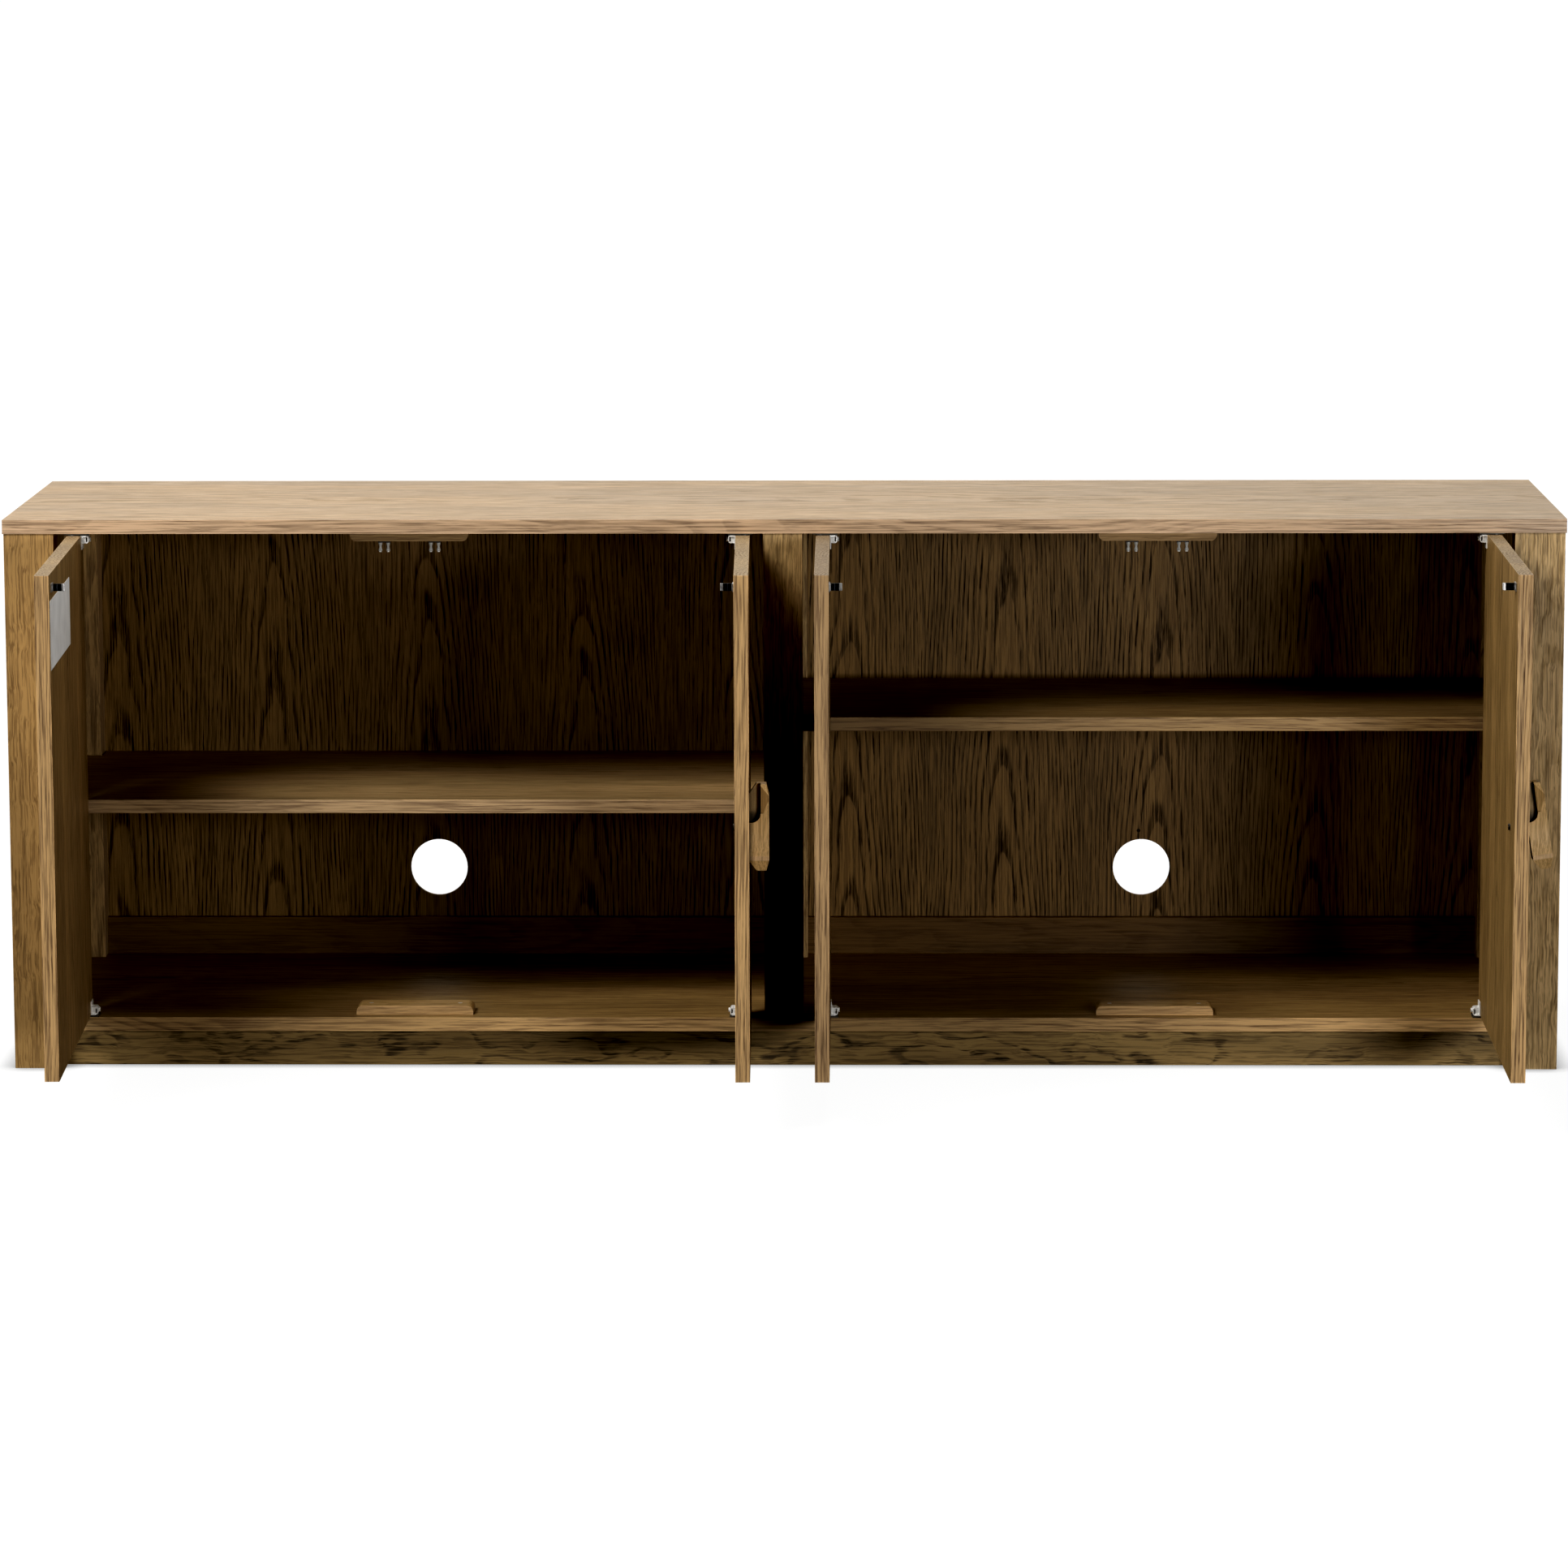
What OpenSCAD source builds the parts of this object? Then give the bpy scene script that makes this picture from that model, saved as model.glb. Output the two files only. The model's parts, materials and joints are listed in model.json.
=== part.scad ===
// Media cabinet: a low oak console with four inset doors that turn on pivot brackets.
// Frame: +X to the right, the front faces -Y, +Z up.
// The origin is on the floor, under the middle of the body.

/* [Body] */
// Width of the top
overall_w = 2007; // [1900:1:2100]
// Depth of the top, front to back
overall_d = 476; // [450:1:500]
// Height from the floor to the top surface
overall_h = 718; // [690:1:760]
// Thickness of the top, bottom, side panels, shelves and doors
board_t = 18; // [17:1:20]
// How far the top stands past the posts at the sides and front
top_overhang = 1.5; // [0.5:0.5:4]

/* [Posts and base] */
// Width of a corner post, seen from the front
post_w = 64; // [56:1:72]
// Depth of every post, front to back
post_d = 40; // [36:1:42]
// Width of the two centre posts
centre_post_w = 50; // [44:1:60]
// Height of the plinth boards
plinth_h = 49.5; // [40:0.5:60]
// How far the front plinth is set back from the posts
plinth_setback = 25; // [15:1:35]

/* [Back] */
// Thickness of the back panels
back_t = 6; // [5:1:8]
// Height of the back rails
rail_h = 50.5; // [40:0.5:60]
// Thickness of the back rails
rail_t = 12; // [10:1:16]
// Radius of the cable holes
cable_hole_r = 39; // [30:1:45]
// Height of the cable holes' centres
cable_hole_z = 186; // [175:1:220]

/* [Shelves] */
// Height of the first shelf-pin hole
pin_row_z = 291; // [280:1:300]
// Spacing of the shelf-pin holes
pin_pitch = 36; // [34:1:40]
// Number of holes in each column
pin_holes = 6; // [5:1:7]
// Which hole holds the left shelf, counted from the bottom
left_pin_hole = 1; // [0:1:2]
// Which hole holds the right shelf, counted from the bottom
right_pin_hole = 4; // [3:1:4]
// Depth of the right shelf, which stops in front of the rear posts
right_shelf_d = 369; // [340:1:380]

/* [Doors] */
// Clearance round each door
door_gap = 2.5; // [2:0.5:4]
// Opening angle of door 1
door_1_open = 87.7; // [80:0.1:94]
// Opening angle of door 2
door_2_open = 91.1; // [80:0.1:92]
// Opening angle of door 3
door_3_open = 89.6; // [80:0.1:92]
// Opening angle of door 4
door_4_open = 89.5; // [80:0.1:94]
// Pivot distance from the door's hinge edge
pivot_in = 21; // [20:0.5:23]
// Pivot distance behind the door's front face
pivot_back = 6; // [5.5:0.5:7]

/* [Handles] */
// Length of a handle
handle_l = 108; // [90:1:130]
// How far a handle stands out from the door
handle_p = 24.5; // [20:0.5:28]
// Width of a handle
handle_w = 28; // [24:1:32]
// Distance from the handle's middle to the door's free edge
handle_inset = 60; // [45:1:75]

/* [Hidden] */

// Body planes
body_x = overall_w / 2 - top_overhang;
front_y = -overall_d / 2 + top_overhang;
rear_y = overall_d / 2 - back_t;
floor_z = plinth_h + board_t;
ceiling_z = overall_h - board_t;
opening_x = body_x - post_w;
centre_x = centre_post_w / 2;
side_inner_x = body_x - board_t;
partition_x = board_t / 2;
post_back_y = front_y + post_d;
rear_post_y = rear_y - post_d;
rail_y = rear_y - rail_t;
pair_x = (opening_x + centre_x) / 2;

// Shelves and pins
shelf_play = 1.5;
shelf_front_gap = 1;
shelf_rear_gap = 1;
pin_r = 2.5;
pin_depth = 8;
pin_out = 10;
pin_front_inset = 96;
pin_rear_inset = 42;
pin_front_y = front_y + pin_front_inset;
pin_rear_y = rear_post_y - pin_rear_inset;
left_pin_z = pin_row_z + left_pin_hole * pin_pitch;
right_pin_z = pin_row_z + right_pin_hole * pin_pitch;
shelf_seat = 0.1;
left_shelf_z = left_pin_z + pin_r + shelf_seat;
right_shelf_z = right_pin_z + pin_r + shelf_seat;
shelf_front_y = post_back_y + shelf_front_gap;

// Doors
door_w = (opening_x - centre_x - 3 * door_gap) / 2;
door_h = ceiling_z - floor_z - 2 * door_gap;
door_z = floor_z + door_gap;
pivot_y = front_y + pivot_back;
door_back = board_t - pivot_back;
door_free = door_w - pivot_in;
door_open = [door_1_open, door_2_open, door_3_open, door_4_open];
hinge_side = [1, -1, 1, -1];
outer_pivot_x = opening_x - door_gap - pivot_in;
inner_pivot_x = centre_x + door_gap + pivot_in;
pivot_x = [-outer_pivot_x, -inner_pivot_x, inner_pivot_x, outer_pivot_x];

// Pivot brackets, frame plates and pins
pivot_pin_r = 2;
pivot_clearance = 0.05;
pivot_pin_l = 9.5;
pin_pocket_r = 3;
pin_pocket_l = 10;
frame_plate_t = 1.8;
frame_plate_x = [-10, 22];
frame_plate_y = [-4.5, 20];
frame_screw_xy = [[15, 3], [4, 14]];
frame_screw_l = 15;
bracket_t = 2;
bracket_x = [-16, 6];
bracket_y0 = -4.5;
bracket_reach = 9.5;
tab_t = 1.6;
tab_l = 18;
block_x = [-14, 4];
block_l = 10.5;
flange_t = 1.5;
flange_bend_r = 3;
flange_gap = 1.8;
flange_gap_z = [-8.3, -2.6];
bracket_screw_x = -5;
long_screw_z = 6;
long_screw_l = 22;
tab_screw_z = 14.5;
tab_screw_l = 13;

// Screws
screw_r = 1.6;
screw_head_r = 3;
screw_head_l = 1.4;
screw_tip_l = 3;
screw_tip_r = 0.3;
pan_head_r = 3;
pan_head_l = 2.2;
slot_w = 0.9;
slot_depth = 1;
handle_screw_r = 2;
handle_screw_head_r = 4;
handle_screw_l = 15;

// Strikes and roller catches
strike_inset = 31.25;
strike_drop = 20.5;
strike_z = ceiling_z - strike_drop - door_z;
strike_h = 10;
strike_base_w = 22;
strike_base_t = 1.5;
strike_l = 16.5;
strike_blade_t = 3;
strike_waist_t = 2;
strike_screw_x = 7;
strike_screw_l = 12;
strike_bevel = 1.5;
strike_trim = 0.5;
waist_flat = 1;
waist_slope = 1.5;
roller_y = 21;
roller_r = 2.5;
roller_offset = 5;
roller_bore_clearance = 0.05;
roller_pin_r = 1;
roller_h = 11.2;
roller_play = 0.4;
catch_plate_t = 2;
catch_w = 16;
catch_y = [-5, 26];
catch_screw_y = [14.5, 21];
catch_screw_l = 12;
roller_head_r = 1.8;
roller_head_l = 0.8;

// Door stops
stop_w = 152;
stop_d = 40;
stop_t = 12;
stop_round = 8;
stop_gap = 0.5;
stop_y = front_y + board_t + stop_gap;
stop_screw_x = 58;
stop_screw_l = 26;

// Dowels and back screws
dowel_r = 4;
dowel_top_depth = 12;
dowel_l = 36;
dowel_spread = 11;
back_screw_l = 18;
back_screw_inset = 32;
back_screw_centre = 12;
back_screw_rows = 6;
back_screw_low = floor_z + 27.5;
back_screw_high = ceiling_z - 20;
back_screw_step = (back_screw_high - back_screw_low) / (back_screw_rows - 1);
back_screw_xs = [200, 480, 760];

// Handle outline and scoops
handle_z = door_h / 2 - 5;
handle_end = 9;
handle_end_rise = 13;
handle_nose = 3.5;
handle_nose_rise = 15;
waist_r = 110;
waist_depth = 6;
groove_r = 12;
groove_p = 2;
groove_z = 18;
groove_x = -3;
facet_turn = 33;
end_facet = [8, 14];
lean_turn = 8.5;
lean_z = 25;

// Label blank on door 1
label_x = 175;
label_z = 510;
label_w = 250;
label_h = 85;
label_t = 0.4;

OAK = [0.68, 0.53, 0.36];
OAK_LIGHT = [0.80, 0.68, 0.53];
OAK_DARK = [0.42, 0.31, 0.20];
BEECH = [0.85, 0.72, 0.55];
NICKEL = [0.78, 0.77, 0.74];
ZINC = [0.70, 0.70, 0.72];
DARK_STEEL = [0.25, 0.24, 0.23];
NYLON = [0.82, 0.82, 0.80];
PAPER = [0.93, 0.93, 0.92];

// ---- helpers -------------------------------------------------------------

// A box from its lowest to its highest corner
module block(low, high) {
    translate(low) cube(high - low);
}

// A flat-head screw pointing along -Z, its head's face at z = 0
module flat_screw(length) {
    translate([0, 0, -screw_head_l])
        cylinder(h = screw_head_l, r1 = screw_r, r2 = screw_head_r, $fn = 32);
    translate([0, 0, -length + screw_tip_l])
        cylinder(h = length - screw_tip_l - screw_head_l, r = screw_r, $fn = 32);
    translate([0, 0, -length])
        cylinder(h = screw_tip_l, r1 = screw_tip_r, r2 = screw_r, $fn = 32);
}

// A slotted pan-head screw pointing along -Z, its head standing on z = 0
module pan_screw(length, r, head_r) {
    difference() {
        cylinder(h = pan_head_l, r = head_r, $fn = 40);
        translate([-head_r, -slot_w / 2, pan_head_l - slot_depth])
            cube([2 * head_r, slot_w, slot_depth + 1]);
    }
    translate([0, 0, -length + screw_tip_l])
        cylinder(h = length - screw_tip_l, r = r, $fn = 32);
    translate([0, 0, -length])
        cylinder(h = screw_tip_l, r1 = screw_tip_r, r2 = r, $fn = 32);
}

// Puts children, drawn in a door's own frame, where door n stands.
// Door frame: origin on the pivot at the door's lower edge, +X towards the free edge,
// the door's outer face on the -Y side
module at_door(n) {
    side = hinge_side[n - 1];
    translate([pivot_x[n - 1], pivot_y, door_z])
        rotate([0, 0, -side * door_open[n - 1]])
            mirror([side < 0 ? 1 : 0, 0, 0])
                children();
}

// Puts children, drawn from the pivot of closed door n, under the top and,
// turned over, on the bottom panel
module at_pivots(n) {
    translate([pivot_x[n - 1], pivot_y, 0])
        mirror([hinge_side[n - 1] < 0 ? 1 : 0, 0, 0]) {
            translate([0, 0, ceiling_z]) children();
            translate([0, 0, floor_z]) mirror([0, 0, 1]) children();
        }
}

// Puts children at both hinge ends of a door; +Z points out of the door's edge
module at_door_ends(n) {
    at_door(n) {
        translate([0, 0, door_h]) children();
        mirror([0, 0, 1]) children();
    }
}

// ---- dowels and screws ---------------------------------------------------

module dowel() {
    cylinder(h = dowel_l, r = dowel_r, $fn = 32);
}

module dowels() {
    top_start = ceiling_z - (dowel_l - dowel_top_depth);
    corner = body_x - post_w / 2;
    for (x = [-corner, 0, corner], y = [front_y + post_d / 2, rear_y - post_d / 2])
        for (s = [-1, 1])
            translate([x + s * dowel_spread, y, top_start]) dowel();
    for (y = [front_y + post_d / 2, rear_y - post_d / 2], s = [-1, 1])
        translate([s * dowel_spread, y, floor_z - dowel_top_depth]) dowel();
}

module panel_dowels() {
    color(BEECH) dowels();
}

module back_screws() {
    edge = body_x - back_screw_inset;
    for (x = [-edge, -back_screw_centre, back_screw_centre, edge])
        for (z = [back_screw_low : back_screw_step : back_screw_high + 1])
            translate([x, overall_d / 2, z]) rotate([-90, 0, 0]) flat_screw(back_screw_l);
    for (s = [-1, 1], x = back_screw_xs)
        translate([s * x, overall_d / 2, floor_z - board_t / 2])
            rotate([-90, 0, 0]) flat_screw(back_screw_l);
}

module back_panel_screws() {
    color(ZINC) back_screws();
}

module stop_screws() {
    for (side = [-1, 1], s = [-1, 1])
        translate([side * pair_x + s * stop_screw_x, stop_y + stop_d / 2, 0]) {
            translate([0, 0, ceiling_z - stop_t])
                mirror([0, 0, 1]) flat_screw(stop_screw_l);
            translate([0, 0, floor_z + stop_t]) flat_screw(stop_screw_l);
        }
}

module frame_plate_screws() {
    for (n = [1:4])
        at_pivots(n)
            for (p = frame_screw_xy)
                translate([p[0], p[1], -frame_plate_t]) mirror([0, 0, 1]) flat_screw(frame_screw_l);
}

// Middle of catch n, at the height of the stop's underside
module at_catch(n) {
    translate([
        pivot_x[n - 1] + hinge_side[n - 1] * (door_free - strike_inset),
        pivot_y + roller_y,
        ceiling_z - stop_t
    ]) mirror([hinge_side[n - 1] < 0 ? 1 : 0, 0, 0]) children();
}

module catch_screws() {
    for (n = [1:4])
        at_catch(n)
            for (y = catch_screw_y)
                translate([0, y, -catch_plate_t])
                    mirror([0, 0, 1]) flat_screw(catch_screw_l);
}

module carcass_screws() {
    color(ZINC) {
        stop_screws();
        frame_plate_screws();
        catch_screws();
    }
}

// ---- carcass -------------------------------------------------------------

module top_panel() {
    color(OAK_LIGHT) difference() {
        block([-overall_w / 2, -overall_d / 2, ceiling_z],
              [overall_w / 2, overall_d / 2, overall_h]);
        dowels();
    }
}

module bottom_panel() {
    color(OAK) difference() {
        union() {
            block([-opening_x, front_y, plinth_h], [opening_x, rear_y, floor_z]);
            block([-side_inner_x, post_back_y, plinth_h],
                  [side_inner_x, rear_post_y, floor_z]);
        }
        dowels();
    }
}

module corner_post(side, y) {
    color(OAK) difference() {
        block([side > 0 ? opening_x : -body_x, y, 0],
              [side > 0 ? body_x : -opening_x, y + post_d, ceiling_z]);
        dowels();
    }
}

module post_front_left() {
    corner_post(-1, front_y);
}

module post_front_right() {
    corner_post(1, front_y);
}

module post_rear_left() {
    corner_post(-1, rear_post_y);
}

module post_rear_right() {
    corner_post(1, rear_post_y);
}

module centre_post(y) {
    color(OAK) difference() {
        block([-centre_x, y, floor_z], [centre_x, y + post_d, ceiling_z]);
        dowels();
    }
}

module post_front_centre() {
    centre_post(front_y);
}

module post_rear_centre() {
    centre_post(rear_post_y);
}

// Columns of blind shelf-pin holes that open towards direction side from plane x
module pin_columns(x, side) {
    for (y = [pin_front_y, pin_rear_y], i = [0:pin_holes - 1])
        translate([x - side * pin_depth, y, pin_row_z + i * pin_pitch])
            rotate([0, side * 90, 0]) cylinder(h = pin_depth + 1, r = pin_r, $fn = 32);
}

module side_panel(side) {
    color(OAK) difference() {
        block([side > 0 ? side_inner_x : -body_x, post_back_y, 0],
              [side > 0 ? body_x : -side_inner_x, rear_post_y, ceiling_z]);
        pin_columns(side * side_inner_x, -side);
    }
}

module side_panel_left() {
    side_panel(-1);
}

module side_panel_right() {
    side_panel(1);
}

module centre_partition() {
    color(OAK) difference() {
        block([-partition_x, post_back_y, floor_z], [partition_x, rear_post_y, ceiling_z]);
        pin_columns(-partition_x, -1);
        pin_columns(partition_x, 1);
    }
}

module plinth_front() {
    y = front_y + plinth_setback;
    color(OAK_DARK) block([-opening_x, y, 0], [opening_x, y + board_t, plinth_h]);
}

module plinth_back() {
    color(OAK_DARK)
        block([-opening_x, rear_y - board_t, 0], [opening_x, rear_y, plinth_h]);
}

module base_support() {
    color(OAK_DARK)
        block([-centre_x, front_y + plinth_setback + board_t, 0],
              [centre_x, rear_y - board_t, plinth_h]);
}

module back_panel(side) {
    color(OAK) difference() {
        block([side > 0 ? 0 : -body_x, rear_y, plinth_h],
              [side > 0 ? body_x : 0, overall_d / 2, ceiling_z]);
        translate([side * pair_x, rear_y - 1, cable_hole_z])
            rotate([-90, 0, 0]) cylinder(h = back_t + 2, r = cable_hole_r, $fn = 96);
        back_screws();
    }
}

module back_panel_left() {
    back_panel(-1);
}

module back_panel_right() {
    back_panel(1);
}

module back_rail(side) {
    color(OAK)
        block([side > 0 ? centre_x : -opening_x, rail_y, floor_z],
              [side > 0 ? opening_x : -centre_x, rear_y, floor_z + rail_h]);
}

module back_rail_left() {
    back_rail(-1);
}

module back_rail_right() {
    back_rail(1);
}

// ---- shelves -------------------------------------------------------------

module shelf_pin(x, y, z, side) {
    translate([x - side * pin_depth, y, z])
        rotate([0, side * 90, 0]) cylinder(h = pin_depth + pin_out, r = pin_r, $fn = 32);
}

module shelf_pins() {
    color(NICKEL)
        for (y = [pin_front_y, pin_rear_y]) {
            shelf_pin(-side_inner_x, y, left_pin_z, 1);
            shelf_pin(-partition_x, y, left_pin_z, -1);
            shelf_pin(partition_x, y, right_pin_z, 1);
            shelf_pin(side_inner_x, y, right_pin_z, -1);
        }
}

// The left shelf reaches the back panel and is notched round the rear posts
module shelf_left() {
    notch_y = rear_post_y - shelf_play;
    color(OAK_LIGHT) difference() {
        block([-side_inner_x + shelf_play, shelf_front_y, left_shelf_z],
              [-partition_x - shelf_play, rear_y - shelf_rear_gap, left_shelf_z + board_t]);
        block([-side_inner_x, notch_y, left_shelf_z - 1],
              [-opening_x + shelf_play, rear_y, left_shelf_z + board_t + 1]);
        block([-centre_x - shelf_play, notch_y, left_shelf_z - 1],
              [0, rear_y, left_shelf_z + board_t + 1]);
    }
}

module shelf_right() {
    color(OAK_LIGHT)
        block([partition_x + shelf_play, shelf_front_y, right_shelf_z],
              [side_inner_x - shelf_play, shelf_front_y + right_shelf_d,
               right_shelf_z + board_t]);
}

// ---- door stops ----------------------------------------------------------

// A stop with its mounting face on z = 0, standing up to z = stop_t
module stop_body() {
    rotate([90, 0, 0]) translate([0, 0, -stop_d]) linear_extrude(stop_d) intersection() {
        translate([-stop_w / 2, 0]) square([stop_w, stop_t]);
        union() {
            translate([-stop_w / 2, 0]) square([stop_w, stop_t - stop_round]);
            translate([-stop_w / 2 + stop_round, 0])
                square([stop_w - 2 * stop_round, stop_t]);
            for (s = [-1, 1])
                translate([s * (stop_w / 2 - stop_round), stop_t - stop_round])
                    circle(r = stop_round, $fn = 64);
        }
    }
}

module top_stop(side) {
    color(OAK_LIGHT) difference() {
        translate([side * pair_x, stop_y, ceiling_z]) mirror([0, 0, 1]) stop_body();
        stop_screws();
    }
}

module bottom_stop(side) {
    color(OAK_LIGHT) difference() {
        translate([side * pair_x, stop_y, floor_z]) stop_body();
        stop_screws();
    }
}

module top_stop_left() {
    top_stop(-1);
}

module top_stop_right() {
    top_stop(1);
}

module bottom_stop_left() {
    bottom_stop(-1);
}

module bottom_stop_right() {
    bottom_stop(1);
}

// ---- hinges --------------------------------------------------------------

module hinge_frame_plates() {
    color(NICKEL) difference() {
        for (n = [1:4])
            at_pivots(n)
                block([frame_plate_x[0], frame_plate_y[0], -frame_plate_t],
                      [frame_plate_x[1], frame_plate_y[1], 0]);
        hinge_pin_solids();
        frame_plate_screws();
    }
}

module hinge_pin_solids() {
    for (n = [1:4])
        at_pivots(n)
            translate([0, 0, -pivot_pin_l]) cylinder(h = pivot_pin_l, r = pivot_pin_r, $fn = 40);
}

module hinge_pins() {
    color(NICKEL) hinge_pin_solids();
}

// Side outline of a bracket's rounded end: x is the depth, y the height, with a gap
// behind the outer flange
module bracket_end_outline() {
    outer_y = door_back + bracket_reach;
    bend_y = outer_y - flange_bend_r;
    difference() {
        union() {
            translate([door_back, -block_l]) square([bend_y - door_back, block_l]);
            translate([door_back, -block_l + flange_bend_r])
                square([outer_y - door_back, block_l - 2 * flange_bend_r]);
            for (z = [-flange_bend_r, -block_l + flange_bend_r])
                translate([bend_y, z]) circle(r = flange_bend_r, $fn = 48);
        }
        translate([outer_y - flange_t - flange_gap, flange_gap_z[0]])
            square([flange_gap, flange_gap_z[1] - flange_gap_z[0]]);
    }
}

// One pivot bracket in the closed door's frame, its top on z = 0
module bracket_body() {
    outer_y = door_back + bracket_reach;
    block([bracket_x[0], bracket_y0, -bracket_t],
          [bracket_x[1], outer_y - flange_bend_r, 0]);
    block([bracket_x[0], door_back, -tab_l], [bracket_x[1], door_back + tab_t, 0]);
    translate([block_x[0], 0, 0]) rotate([90, 0, 90])
        linear_extrude(block_x[1] - block_x[0]) bracket_end_outline();
}

module bracket_screws() {
    outer_y = door_back + bracket_reach;
    translate([bracket_screw_x, outer_y, -long_screw_z])
        rotate([-90, 0, 0]) pan_screw(long_screw_l, screw_r, pan_head_r);
    translate([bracket_screw_x, door_back + tab_t, -tab_screw_z])
        rotate([-90, 0, 0]) flat_screw(tab_screw_l);
}

module pivot_brackets(n) {
    color(NICKEL) at_door_ends(n) difference() {
        bracket_body();
        translate([0, 0, -bracket_t - 1])
            cylinder(h = bracket_t + 2, r = pivot_pin_r + pivot_clearance, $fn = 40);
        bracket_screws();
    }
}

// ---- strikes and catches -------------------------------------------------

module at_strike(n) {
    at_door(n) translate([door_free - strike_inset, door_back, strike_z]) children();
}

module strike_screws() {
    for (s = [-1, 1])
        translate([s * strike_screw_x, strike_base_t, 0])
            rotate([-90, 0, 0]) flat_screw(strike_screw_l);
}

module strike(n) {
    half = strike_blade_t / 2;
    waist = strike_waist_t / 2;
    waist_y = roller_y - door_back;
    color(DARK_STEEL) at_strike(n) {
        difference() {
            block([-strike_base_w / 2, 0, -strike_h / 2],
                  [strike_base_w / 2, strike_base_t, strike_h / 2]);
            strike_screws();
        }
        translate([0, 0, -strike_h / 2 + strike_trim])
            linear_extrude(strike_h - 2 * strike_trim)
                for (s = [0, 1])
                    mirror([s, 0]) polygon([
                        [0, strike_base_t / 2], [half, strike_base_t / 2],
                        [half, waist_y - waist_flat - waist_slope],
                        [waist, waist_y - waist_flat], [waist, waist_y + waist_flat],
                        [half, waist_y + waist_flat + waist_slope],
                        [half, strike_l - strike_bevel], [half / 2, strike_l], [0, strike_l]
                    ]);
    }
}

module roller_pin_solids() {
    for (n = [1:4])
        at_catch(n)
            for (s = [-1, 1])
                translate([s * roller_offset, 0, 0]) {
                    pin_l = catch_plate_t + roller_h + 2 * roller_play;
                    translate([0, 0, -pin_l]) cylinder(h = pin_l, r = roller_pin_r, $fn = 32);
                    translate([0, 0, -pin_l - roller_head_l])
                        cylinder(h = roller_head_l, r = roller_head_r, $fn = 32);
                }
}

module catch_roller_pins() {
    color(ZINC) roller_pin_solids();
}

module catch_frames() {
    color(ZINC) difference() {
        for (n = [1:4])
            at_catch(n)
                block([-catch_w / 2, catch_y[0], -catch_plate_t], [catch_w / 2, catch_y[1], 0]);
        roller_pin_solids();
        catch_screws();
    }
}

// The left (-1) or right (1) roller of catch n
module catch_roller(n, side) {
    color(NYLON) at_catch(n)
        translate([side * hinge_side[n - 1] * roller_offset, 0,
                   -catch_plate_t - roller_play - roller_h])
            difference() {
                cylinder(h = roller_h, r = roller_r, $fn = 48);
                translate([0, 0, -1])
                    cylinder(h = roller_h + 2, r = roller_pin_r + roller_bore_clearance,
                             $fn = 32);
            }
}

// ---- doors ---------------------------------------------------------------

module door_panel(n) {
    color(OAK) difference() {
        at_door(n) block([-pivot_in, -pivot_back, 0], [door_free, door_back, door_h]);
        at_door_ends(n) {
            block([bracket_x[0], bracket_y0, -bracket_t], [bracket_x[1], door_back + 1, 1]);
            translate([0, 0, -pin_pocket_l])
                cylinder(h = pin_pocket_l + 1, r = pin_pocket_r, $fn = 32);
        }
    }
}

module handle_screw(n) {
    at_door(n) translate([door_free - handle_inset, door_back, handle_z])
        rotate([-90, 0, 0]) pan_screw(board_t + handle_screw_l, handle_screw_r,
                                      handle_screw_head_r);
}

module door_screws(n) {
    color(ZINC) {
        at_door_ends(n) bracket_screws();
        at_strike(n) strike_screws();
        if (hinge_side[n - 1] < 0) handle_screw(n);
    }
}

// Side outline of a handle: x is the distance from the door, y the height from its middle
module handle_outline() {
    half = handle_l / 2;
    polygon([
        [0, half - handle_end_rise], [handle_end, half],
        [handle_p - handle_nose, half], [handle_p, half - handle_nose_rise],
        [handle_p, -half + handle_nose_rise], [handle_p - handle_nose, -half],
        [handle_end, -half], [0, -half + handle_end_rise]
    ]);
}

// A handle, seen from the screw: x towards the free edge, -y away from the door. It has a
// waist on both sides. On the side of the free edge its upper half is open next to the door
// as a finger groove, with a slanted facet beside that, and both ends are cut aslant.
module handle_body() {
    half_w = handle_w / 2;
    half_l = handle_l / 2;
    difference() {
        translate([-half_w, 0, 0]) rotate([90, 0, 90])
            mirror([1, 0, 0]) linear_extrude(handle_w) handle_outline();
        for (s = [-1, 1])
            translate([s * (half_w + waist_r - waist_depth), 1, 0])
                rotate([90, 0, 0]) cylinder(h = handle_p + 2, r = waist_r, $fn = 120);
        translate([groove_x, -groove_p, groove_z])
            rotate([0, 90, 0]) cylinder(h = handle_w, r = groove_r, $fn = 96);
        translate([groove_x, -groove_p - groove_r, groove_z])
            cube([handle_w, groove_p + groove_r + 1, handle_l]);
        translate([half_w, -handle_p, groove_z]) rotate([0, 0, facet_turn])
            translate([0, -handle_p, 0]) cube([handle_w, 3 * handle_p, handle_l]);
        for (s = [-1, 1])
            rotate([90, 0, 0]) linear_extrude(handle_p + 1)
                polygon([
                    [half_w + 1, s * (half_l - end_facet[1] - 2)],
                    [half_w, s * (half_l - end_facet[1])],
                    [half_w - end_facet[0], s * half_l],
                    [half_w - end_facet[0], s * (half_l + 1)],
                    [half_w + 1, s * (half_l + 1)]
                ]);
    }
}

// The handle of door 4 leans away from its door at the lower end
module door_handle(n) {
    color(OAK_LIGHT) at_door(n)
        translate([door_free - handle_inset, -pivot_back, handle_z])
            if (n == 4) {
                difference() {
                    translate([0, 0, lean_z]) rotate([-lean_turn, 0, 0])
                        translate([0, 0, -lean_z]) handle_body();
                    translate([-handle_w, 0, -handle_l]) cube([2 * handle_w, 30, 2 * handle_l]);
                }
            } else {
                handle_body();
            }
}

module door_1_label() {
    color(PAPER) at_door(1)
        block([label_x, door_back, label_z],
              [label_x + label_w, door_back + label_t, label_z + label_h]);
}

// ---- nodes ---------------------------------------------------------------

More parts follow.
